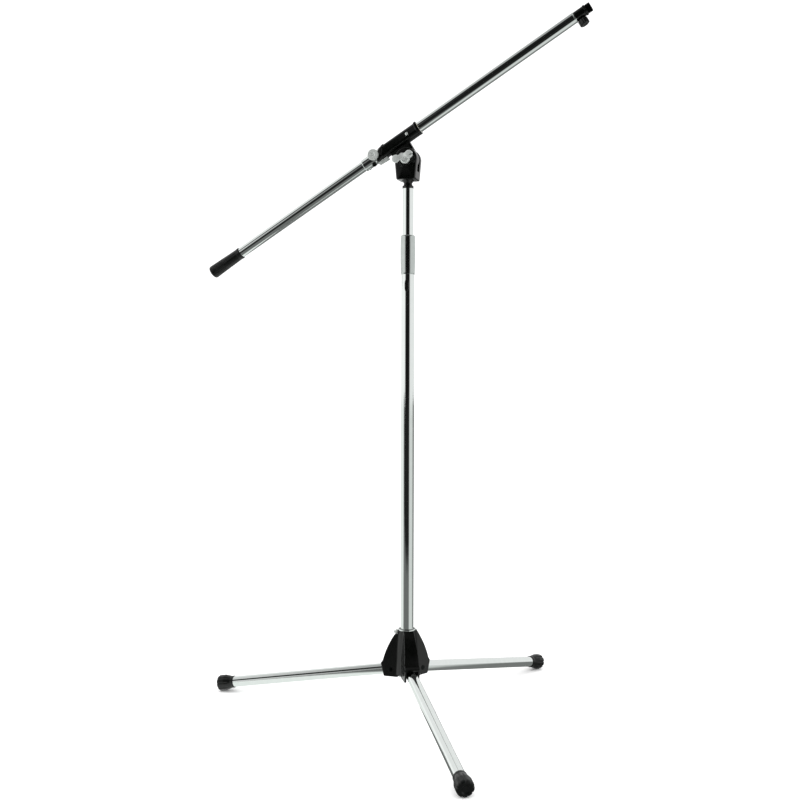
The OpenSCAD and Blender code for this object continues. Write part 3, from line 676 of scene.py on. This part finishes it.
root_length = 14.0
spigot_length = 25.0
collar_r, foot_r = 10.7, 13.75
boot_length, boot_past = 27, 4.6
dish_r, dish_depth = 7.5, 1.4
flutes, flute_depth = 9, 1.6
for name, pivot in zip(("left", "right", "front"), pivots):
    low, high = extent(f"leg_tube_{name}")
    to_middle = (low + high) / 2 - pivot
    leg_at = axes(mm * pivot, to_middle, (0, 0, 1))
    leg_end = 2 * np.linalg.norm(to_middle) - root_length
    body = f"leg_{name}"

    around = np.linspace(0, 2 * np.pi, 72, endpoint=False)
    back = leg_r * np.cos(np.linspace(0, np.pi / 2, 12))[:, None]
    flat = np.sqrt(leg_r ** 2 - back ** 2)
    nose_rows = np.stack([np.clip(leg_r * np.cos(around), -flat, flat), leg_r * np.sin(around) + 0 * back,
                          -back + 0 * around], axis=-1)
    spigot = rounded([[leg_r, 0.5], [leg_r, root_length], [leg_r - wall, root_length],
                      [leg_r - wall, root_length + spigot_length], [0, root_length + spigot_length]],
                     [0, 0.3, 0.1, 0.5, 0])
    root_rows = np.concatenate([nose_rows, revolve(spigot, 72)])
    root = piece_of(f"root_{name}", [skin(root_rows, leg_at)], zinc_plated)
    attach(root, body)
    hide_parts(f"leg_root_{name}")

    leg_section = tube_wall(leg_r, leg_r - wall, root_length, leg_end)
    tube = piece_of(f"tube_{name}", [skin(revolve(leg_section), leg_at, ring=True)], chromed_tube)
    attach(tube, body)
    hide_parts(f"leg_tube_{name}")

    boot_top, boot_end = leg_end - boot_length, leg_end + boot_past
    boot_section = rounded([[0, leg_end], [leg_r, leg_end], [leg_r, boot_top], [collar_r, boot_top],
                            [collar_r, leg_end - 21.5], [collar_r + 1, leg_end - 18],
                            [foot_r, leg_end - 10], [foot_r, boot_end], [dish_r, boot_end],
                            [dish_r - 1.8, boot_end - dish_depth], [0, boot_end - dish_depth]],
                           [0, 0.2, 0.3, 0.7, 1.2, 6, 7, 4.4, 0.4, 0.4, 0], steps=8)
    boot = revolve(boot_section, 180)
    r, z = boot_section.T
    fluted = np.clip((z - leg_end + 15) / 5, 0, 1) * np.clip((r - 8.5) / 4, 0, 1)
    angle = np.linspace(0, 2 * np.pi, 180, endpoint=False)
    groove = np.clip(np.cos(flutes * angle) * 1.9 - 0.9, 0, 1)
    flute(boot, fluted, flute_depth * groove, foot_r)
    foot = piece_of(f"boot_{name}", [skin(boot, leg_at)], rubber, crease=40)
    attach(foot, body)
    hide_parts(f"foot_{name}")

# ---- Rod ----
# The chromed rod slides in the lower tube on a nylon bush. Its cap is turned from black plastic and
# carries the stem of the head.

low, high = extent("upper_rod")
rod_r = high[0]
rod_top = high[2]
rod_section = tube_wall(rod_r, rod_r - wall, low[2], rod_top)
rod = piece_of("sliding_rod", [skin(revolve(rod_section), mast, ring=True)], chromed_tube)
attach(rod, "rod")
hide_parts("upper_rod")

frame["nodes"]["rod_bush"].data.materials.clear()
frame["nodes"]["rod_bush"].data.materials.append(white_nylon)

low, high = extent("rod_cap")
cap_section = rounded([[5.05, low[2]], [rod_r - wall, low[2]], [rod_r - wall, rod_top], [rod_r, rod_top],
                       [rod_r, high[2]], [5.05, high[2]]], [0.2, 0.4, 0.1, 0.5, 0.9, 0.3], closed=True)
cap = piece_of("top_cap", [skin(revolve(cap_section), mast, ring=True)], black_nylon)
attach(cap, "rod")
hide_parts("rod_cap")

# ---- Head yoke ----
# A black casting with two cheeks that grip the cradle's tongue. Its stem turns in the rod's cap and a
# spring clip holds it there. Steel washers lie between the cheeks and the tongue.

tilt_point = np.array(joints["boom_tilt"]["pos_m"])
tilt_z = tilt_point[2] / mm
tilt_at = axes(tilt_point, (0, -1, 0), (1, 0, 0))
low, high = extent("head_yoke")
cheek_r = high[0]
half_depth = high[1]
block_drop = 34.0
block_foot = 16.6
slot_half = 6.3
corner = 3.0
around = np.linspace(0, 2 * np.pi, 160, endpoint=False)
t = np.linspace(0, np.pi / 2, 8)
depth = np.concatenate([[half_depth - corner + corner * np.sin(a) for a in t[::-1]], [6.0, 2.0]])
inset = np.concatenate([corner * (1 - np.cos(t[::-1])), [0, 0]])
depth = np.concatenate([-depth, depth[::-1]])
inset = np.concatenate([inset, inset[::-1]])[:, None]
side_slope = np.arctan((cheek_r - block_foot) / block_drop)
flank = (cheek_r * np.cos(side_slope) - inset) / np.maximum(
    np.cos(side_slope) * np.abs(np.cos(around)) + np.sin(side_slope) * np.maximum(-np.sin(around), 0), 0.01)
base = (block_drop - 0.25 * inset) / np.maximum(-np.sin(around), 0.01)
top = np.where(np.sin(around) > 0, cheek_r - inset, 1000)
yoke_r = np.where(np.sin(around) > 0, top, soft_least(flank, base, 1.6))
yoke_rows = loops_round(yoke_r, depth[:, None], around)
black_gloss = moulded_black("gloss_black_enamel_on_casting", "#020302", 0.12, 1.1, 0.008, 0.42)
yoke = piece_of("yoke_casting", [skin(capped(yoke_rows), tilt_at)], black_gloss)
slot_bottom, clear = -cheek_r - 0.6, 40
slot = np.array([[-clear, slot_bottom], [clear, slot_bottom], [clear, clear], [-clear, clear]])
slot_cut = piece_of("slot_cut", [skin(prism(slot, -slot_half, slot_half), tilt_at)], black_gloss)
carve(yoke, [slot_cut])
block_z = tilt_z - block_drop
stem_r, flange_r = 5.0, 7.6
flange_z = rod_top + 4.9
stem_section = rounded([[0, low[2]], [stem_r, low[2]], [stem_r, flange_z], [flange_r, flange_z],
                        [7, block_z - 4.5], [11, block_z], [11, block_z + 2], [0, block_z + 2]],
                       [0, 0.6, 0.2, 0.4, 1.2, 0.3, 0.2, 0])
stem = piece_of("stem", [skin(revolve(stem_section, 64), mast)], black_gloss)
carve(yoke, [stem], "UNION")
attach(yoke, "head")
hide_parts("head_yoke")

frame["nodes"]["stem_clip"].data.materials.clear()
frame["nodes"]["stem_clip"].data.materials.append(zinc_plated)

washer_r, washer_inner = 15.0, 4.0
washer_skins = []
for low_z in (-slot_half, slot_half - 1):
    washer_section = tube_wall(washer_r, washer_inner, low_z, low_z + 1, 0.2)
    washer_skins.append(skin(revolve(washer_section), tilt_at, ring=True))
washers = piece_of("cheek_washers", washer_skins, zinc_plated)
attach(washers, "head")
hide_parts("friction_washers")

# ---- Tilt bolt and wing nut ----
# A zinc plated hexagon bolt runs through the cheeks, and a cast wing nut with two plump lobes, plated in
# satin nickel, pulls them together from the front side.

bolt_r = 4.0
bolt_end = 32.4
bolt_back = -21.5
pitch = 1.25
z = np.concatenate([np.linspace(bolt_back + 0.5, 16, 8), np.arange(16.1, bolt_end - 0.8, 0.12)])[:, None]
around = np.linspace(0, 2 * np.pi, 48, endpoint=False)
saw = np.abs(((z / pitch - around / (2 * np.pi)) % 1) * 2 - 1)
cut = np.clip((z - 16.5) / 1.0, 0, 1) * 0.6
shank_r = bolt_r - 0.05 - cut * saw
shank_rows = loops_round(shank_r, z, around)
tip_row = loops_round(np.full((1, 1), 0.8 * bolt_r), np.full((1, 1), bolt_end), around)
shank_rows = capped(np.concatenate([shank_rows, tip_row]))
head_z = bolt_back + np.array([0, 0.3, 0.9, 2.5, 5.2, 5.5])[:, None]
flat_half = 6.5
hexagon = flat_half / np.cos((around + np.pi / 6) % (np.pi / 3) - np.pi / 6)
bevel = flat_half + np.array([-0.6, 0, 0.9, 1.5, 1.5, 1.1])[:, None]
head_r = np.minimum(hexagon, bevel)
head_rows = loops_round(head_r, head_z, around)
bolt = piece_of("yoke_bolt", [skin(shank_rows, tilt_at), skin(capped(head_rows), tilt_at)], zinc_plated)
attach(bolt, "head")
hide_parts("tilt_bolt")

nut_base = half_depth + 0.3
lobe_low, lobe_high = 31.0, 37.0
lobe_x, lobe_r = 11.8, 6.7
nut_bore, nut_flange_r, nut_neck_r = 4.1, 8.6, 5.8
bore_end = bolt_end + 0.3
waist_half = 4.2
nut_section = rounded([[nut_bore, nut_base], [nut_flange_r, nut_base], [nut_flange_r, nut_base + 2],
                       [nut_neck_r + 0.4, nut_base + 4], [nut_neck_r, lobe_low],
                       [nut_neck_r, lobe_high - 1], [0, lobe_high - 1], [0, bore_end], [nut_bore, bore_end]],
                      [0.3, 0.8, 0.8, 1.2, 0.2, 0.8, 0, 0, 0.1], closed=True)
nut_turn = np.radians(16.5)
nut_at = axes(tilt_point, (0, -1, 0), (np.cos(nut_turn), 0, np.sin(nut_turn)))
wing_nut = piece_of("wing_nut_casting", [skin(revolve(nut_section, 72), nut_at, ring=True)], satin_plate)
around = np.linspace(0, 2 * np.pi, 64, endpoint=False)
disc = lobe_r * np.column_stack([np.cos(around), np.sin(around)])
waist = rounded([[-lobe_x, -waist_half], [lobe_x, -waist_half], [lobe_x, waist_half],
                 [-lobe_x, waist_half]], 0.5, closed=True)
notch = rounded([[12, -2.9], [24, -2.9], [24, -0.9], [12, -0.9]], [0.9, 0.3, 0.3, 0.9], closed=True)
lobes = [piece_of("lobe", [skin(prism(disc + [x, 0], lobe_low, lobe_high, 2.4, 6), nut_at)], satin_plate)
         for x in (-lobe_x, lobe_x)]
lobes.append(piece_of("waist", [skin(prism(waist, lobe_low + 0.3, lobe_high - 0.5, 0.8), nut_at)],
                      satin_plate))
for lobe in lobes:
    carve(wing_nut, [lobe], "UNION", crease=50)
notch_cut = piece_of("notch", [skin(prism(notch, lobe_low - 2, lobe_high + 2), nut_at)], satin_plate)
carve(wing_nut, [notch_cut], crease=50)
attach(wing_nut, "tilt_nut")
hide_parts("tilt_wing_nut")

# ---- Cradle ----
# The boom slides in a cast black cradle with a rim at each end and a lining of white nylon. Its
# tongue goes down between the yoke's cheeks, and a rivet with a satin plated head holds the lining.

boom_along = np.array(joints["boom_slide"]["axis"])
boom_up = np.cross(np.cross(boom_along, (0, 0, 1)), boom_along)
boom_up /= np.linalg.norm(boom_up)
boom_rise = 36.0
boom_at = axes(tilt_point + mm * boom_rise * boom_up, boom_along, boom_up)
tongue_at = axes(tilt_point, (0, -1, 0), boom_along)
cradle_rear, cradle_front = -38.7, 44.3
cradle_up, cradle_down, cradle_half = 10.3, 11.0, 10.8
cradle_corner = 8
rim_grow = 1.3
rear_slant = np.tan(np.radians(35))
liner_r = 9.6


def slanted(rows, end):
    """Slides each point along the boom, so that the flat end at u = end leans back by the cradle's
    slant: a point moves by slant times its height times its nearness to that end."""
    nearness = np.clip((cradle_front - rows[..., 2]) / (cradle_front - end), 0, None)
    return rows + np.stack([0 * nearness, 0 * nearness, rear_slant * rows[..., 0] * nearness], axis=-1)


def cradle_loop(grow):
    """A nearly round section about the boom: an oblong with large round corners."""
    up, half = cradle_up + grow, cradle_half + 0.5 * grow
    return rounded([[up, -half], [-cradle_down, -half], [-cradle_down, half], [up, half]], cradle_corner,
                   closed=True, steps=9)


stations = [(cradle_rear, -0.8), (cradle_rear + 0.3, -0.2), (cradle_rear + 0.9, 0.2),
            (cradle_rear + 5.6, 0.3), (cradle_rear + 6, rim_grow), (cradle_rear + 9.6, rim_grow),
            (cradle_rear + 10.4, 0.2), (cradle_rear + 11.4, 0), (cradle_front - 6.6, 0),
            (cradle_front - 5.2, 0.3), (cradle_front - 4.5, rim_grow), (cradle_front - 1.0, rim_grow),
            (cradle_front - 0.3, 0.9), (cradle_front, 0.1)]
cradle_rows = np.stack([np.column_stack([cradle_loop(grow), np.full(len(cradle_loop(grow)), u)])
                        for u, grow in stations])
cradle = piece_of("cradle_body", [skin(capped(slanted(cradle_rows, cradle_rear)), boom_at)], black_gloss)
tongue_half = 5.0
tongue_r = 18.9
tongue_top = boom_rise - 9.8
turn = np.linspace(-np.pi, 0, 40)
tongue_outline = np.concatenate([np.column_stack([tongue_r * np.cos(turn), tongue_r * np.sin(turn)]),
                                 [[tongue_r, tongue_top], [-tongue_r, tongue_top]]])
tongue = piece_of("tongue", [skin(prism(tongue_outline, -tongue_half, tongue_half, 0.6), tongue_at)],
                  black_gloss)
carve(cradle, [tongue], "UNION")
bore_rows = capped(revolve([[liner_r, -90], [liner_r, 90]], 96))
bore_cut = piece_of("bore_cut", [skin(bore_rows, boom_at)], black_gloss)
carve(cradle, [bore_cut])
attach(cradle, "cradle")
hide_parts("boom_cradle")

boom_r = 9.0
boom_hole = boom_r + 0.05
liner_section = tube_wall(liner_r, boom_hole, cradle_rear, cradle_front + 0.2, 0.25)
liner_rows = slanted(revolve(liner_section), cradle_rear)
liner = piece_of("cradle_lining", [skin(liner_rows, boom_at, ring=True)], white_nylon)
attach(liner, "cradle")
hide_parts("cradle_liner")

rivet_u, rivet_r, rivet_head_r = 22, 2.0, 2.6
rivet_start = liner_r + 0.1
rivet_at = axes(boom_at[0] + mm * rivet_u * boom_at[1][2], (0, -1, 0), boom_along)
rivet_dome = np.column_stack([rivet_head_r * np.cos(quarter), cradle_half + np.sin(quarter)])
rivet_section = np.concatenate([[[0, rivet_start], [rivet_r, rivet_start], [rivet_r, cradle_half]],
                                rivet_dome])
rivet = piece_of("lining_rivet", [skin(revolve(rivet_section, 40), rivet_at)], satin_plate)
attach(rivet, "cradle")
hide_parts("cradle_rivet")

# ---- Boom clamp ----
# Behind the cradle a chromed collar grips the boom. It has a boss for the knurled thumb screw, a small
# ear, a black set screw from below, and a plated strap that ties it to the cradle.

collar_rear = -70.0
clamp_r = 10.8
collar_section = rounded([[boom_hole, collar_rear], [clamp_r, collar_rear], [clamp_r, cradle_rear],
                          [boom_hole, cradle_rear]], [0.3, 1.6, 0.2, 0.2], closed=True)
collar_rows = revolve(collar_section, 96)
slant_from = -48
near_front = np.clip((collar_rows[..., 2] - slant_from) / (cradle_rear - slant_from), 0, 1)
collar_rows[..., 2] += rear_slant * collar_rows[..., 0] * near_front
collar = piece_of("boom_clamp", [skin(collar_rows, boom_at, ring=True)], chromed_casting)
thumb_u = -43.0
thumb_at = axes(boom_at[0] + mm * thumb_u * boom_at[1][2], (0, -1, 0), boom_along)
boss_r, boss_top = 4.0, 15.5
boss_section = rounded([[0, boom_r + 0.2], [boss_r, boom_r + 0.2], [boss_r, boss_top], [0, boss_top]],
                       [0, 0.1, 0.6, 0])
boss = piece_of("boss", [skin(revolve(boss_section, 48), thumb_at)], chromed_casting)
ear_turn = np.linspace(0, np.pi, 20)
ear_r, ear_u, ear_v = 4.6, -63.5, -7.5
ear_ball = ear_r * np.column_stack([np.sin(ear_turn), -np.cos(ear_turn)])
ear_at = axes(boom_at[0] + mm * (ear_u * boom_at[1][2] + ear_v * boom_at[1][0]), (0, -1, 0), boom_along)
ear_piece = piece_of("ear", [skin(revolve(ear_ball, 40), ear_at)], chromed_casting)
carve(collar, [boss, ear_piece], "UNION")
inner_rows = capped(revolve([[boom_hole, -95], [boom_hole, -20]], 96))
inner = piece_of("inner", [skin(inner_rows, boom_at)], chromed_casting)
carve(collar, [inner])
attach(collar, "cradle")
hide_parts("boom_collar")

set_turn = np.radians(60)
set_axis = np.cos(set_turn) * np.array([0, -1, 0]) - np.sin(set_turn) * boom_up
set_u, set_r, set_head_r = -52, 2.0, 4.0
set_start, set_top = boom_r + 0.4, clamp_r + 2.4
set_at = axes(boom_at[0] + mm * set_u * boom_at[1][2], set_axis, boom_along)
set_section = rounded([[0, set_start], [set_r, set_start], [set_r, clamp_r], [set_head_r, clamp_r],
                       [set_head_r, set_top], [1.6, set_top], [1.4, clamp_r + 1], [0, clamp_r + 1]],
                      [0, 0.2, 0.1, 0.1, 0.5, 0.1, 0.1, 0])
set_screw = piece_of("clamp_set_screw", [skin(revolve(set_section, 40), set_at)], black_steel)
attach(set_screw, "cradle")
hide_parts("collar_set_screw")

strap_outline = rounded([[-45.5, -11], [-45.5, -13.8], [-30, -15], [-26, -15], [-26, -11]],
                        [0.3, 1.2, 1.5, 1.4, 0.3], closed=True, steps=4)
strap_half = 6
strap_at = axes(boom_at[0], (0, -1, 0), boom_along)
strap = piece_of("clamp_strap", [skin(prism(strap_outline, -strap_half, strap_half, 0.8), strap_at)],
                 satin_plate)
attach(strap, "cradle")
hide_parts("jaw_strap")

thumb_r, neck, disc, disc_top = 3.0, boss_top + 0.3, 19.0, 24.0
disc_r = 9.4
thumb_start = boom_r + 0.35
thumb_section = rounded([[0, thumb_start], [thumb_r, thumb_start], [thumb_r, neck], [boss_r, neck],
                         [boss_r, disc], [disc_r, disc], [disc_r, disc_top], [4.2, disc_top],
                         [3.4, disc_top - 0.6], [2.4, disc_top - 1.2], [0, disc_top - 1.2]],
                        [0, 0.2, 0.1, 0.4, 0.2, 0.9, 1.1, 0.6, 0.4, 0.6, 0])
thumb_rows = revolve(thumb_section, 144)
knurl = 0.45 * np.clip(np.cos(24 * np.linspace(0, 2 * np.pi, 144, endpoint=False)), 0, 1)
rim = np.clip((thumb_section[:, 0] - disc_r + 1.2) / 1.0, 0, 1)
flute(thumb_rows, rim, knurl, disc_r)
thumb = piece_of("clamp_thumb_screw", [skin(thumb_rows, thumb_at)], satin_plate)
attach(thumb, "thumb_screw")
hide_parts("collar_thumb_screw")

# ---- Boom ----
# A chromed steel tube with a ribbed grip of black rubber at its rear end. At the tip a thin chromed ring
# meets a black adapter, which ends in the threaded stud for the microphone clip.

boom_front = 376.5
boom_rear = -408.0
tube_end = boom_front - 31
boom_wall = 1.0
grip_floor = boom_rear + 3
boom_section = tube_wall(boom_r, boom_r - boom_wall, grip_floor, tube_end)
boom = piece_of("boom_rod", [skin(revolve(boom_section), boom_at, ring=True)], chromed_tube)
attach(boom, "boom")
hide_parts("boom_tube")

grip_r, mouth_r = 11.6, 10.0
mouth = boom_rear + 67
taper_end = mouth - 8
grip_section = rounded([[0, boom_rear], [grip_r, boom_rear], [mouth_r, taper_end],
                        [mouth_r + 0.5, mouth - 1.2], [mouth_r - 0.3, mouth], [boom_r, mouth],
                        [boom_r, grip_floor], [0, grip_floor]], [0, 3.2, 2, 0.4, 0.3, 0.2, 0.2, 0])
station = np.linspace(boom_rear + 9, mouth - 12, 56)
slope = (mouth_r - grip_r) / (taper_end - boom_rear)
taper = np.column_stack([grip_r + slope * (station - boom_rear), station])
first_after = int(np.argmax(grip_section[:, 1] > mouth - 11))
grip_section = np.concatenate([grip_section[:first_after], taper, grip_section[first_after:]])
grip_rows = revolve(grip_section, 160)
angle = np.linspace(0, 2 * np.pi, 160, endpoint=False)
r, z = grip_section.T
ribbed = np.clip((z - boom_rear - 7) / 2, 0, 1) * np.clip((mouth - 30 - z) / 8, 0, 1) * (r > boom_r + 0.5)
groove = 0.38 * np.clip(np.cos(20 * angle) * 1.5, 0, 1)
flute(grip_rows, ribbed, groove, grip_r)
grip = piece_of("boom_end_grip", [skin(grip_rows, boom_at)], rubber, crease=40)
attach(grip, "boom")
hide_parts("boom_grip")

ring_end = tube_end + 2
ring_section = tube_wall(boom_r + 0.4, boom_r - boom_wall, tube_end, ring_end, 0.5)
ferrule = piece_of("tip_ferrule", [skin(revolve(ring_section), boom_at, ring=True)], chromed_casting)
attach(ferrule, "boom")
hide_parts("tip_ring")

stud_start = boom_front - 8.5
insert_r, adapter_r, spigot_r = 8.0, 8.2, 5.0
insert_start, body_end = tube_end - 20, stud_start - 3.6
adapter_section = rounded([[0, insert_start], [insert_r, insert_start], [insert_r, ring_end],
                           [adapter_r, ring_end], [adapter_r, body_end], [spigot_r, body_end],
                           [spigot_r, stud_start], [0, stud_start]],
                          [0, 0.3, 0.1, 0.1, 0.9, 0.2, 0.1, 0])
adapter = piece_of("thread_adapter", [skin(revolve(adapter_section), boom_at)], black_gloss)
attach(adapter, "boom")
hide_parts("tip_adapter")

thread_r = 7.9
thread_pitch = 25.4 / 27
around = np.linspace(0, 2 * np.pi, 96, endpoint=False)
z = np.linspace(stud_start, boom_front, 130)[:, None]
saw = np.abs(((z / thread_pitch - around / (2 * np.pi)) % 1) * 2 - 1)
taper = np.minimum(np.minimum(z - stud_start, boom_front - z), 0.8)
thread_depth = 0.58
stud_r = np.minimum(thread_r - thread_depth * saw, thread_r - 0.8 + taper)
stud_rows = loops_round(stud_r, z, around)
stud = piece_of("threaded_stud", [skin(capped(stud_rows), boom_at)], black_steel)
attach(stud, "boom")
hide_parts("mic_stud")

# ---- Tip controls ----
# A knurled black lock ring turns behind the stud, and a lobed black thumb knob on a plain shank
# clamps the adapter from below.

ring_start = stud_start - 3.55
lock_r = 8.8
lock_section = tube_wall(lock_r, spigot_r + 0.05, ring_start, ring_start + 3.5, 0.5)
lock_rows = revolve(lock_section, 144)
knurl = 0.4 * np.clip(np.cos(18 * np.linspace(0, 2 * np.pi, 144, endpoint=False)) * 1.6, 0, 1)
rim = np.clip((lock_section[:, 0] - 7.6) / 0.8, 0, 1)
flute(lock_rows, rim, knurl, lock_r)
lock = piece_of("stud_lock_ring", [skin(lock_rows, boom_at, ring=True)], black_gloss)
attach(lock, "lock_ring")
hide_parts("lock_ring")

knob_start, knob_end = 9.4, 19.4
knob_r, knob_shank_r = 8.2, 2.5
knob_at = axes(boom_at[0] + mm * (tube_end + 9.5) * boom_at[1][2], -boom_up, boom_along)
knob_section = rounded([[0, 3], [knob_shank_r, 3], [knob_shank_r, knob_start], [knob_r, knob_start],
                        [knob_r, knob_end], [3.4, knob_end], [2.6, knob_end - 0.8], [0, knob_end - 0.8]],
                       [0, 0.3, 0.3, 1.8, 1.8, 0.6, 0.4, 0])
knob_rows = revolve(knob_section, 160)
angle = np.linspace(0, 2 * np.pi, 160, endpoint=False)
lobes = 0.9 * np.clip(np.cos(8 * angle) * 1.5 - 0.5, 0, 1)
rim = np.clip((knob_section[:, 0] - 5.5) / 2.4, 0, 1)
flute(knob_rows, rim, lobes, knob_r)
knob = piece_of("tip_thumb_knob", [skin(knob_rows, knob_at)], black_nylon)
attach(knob, "tip_knob")
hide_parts("tip_knob")
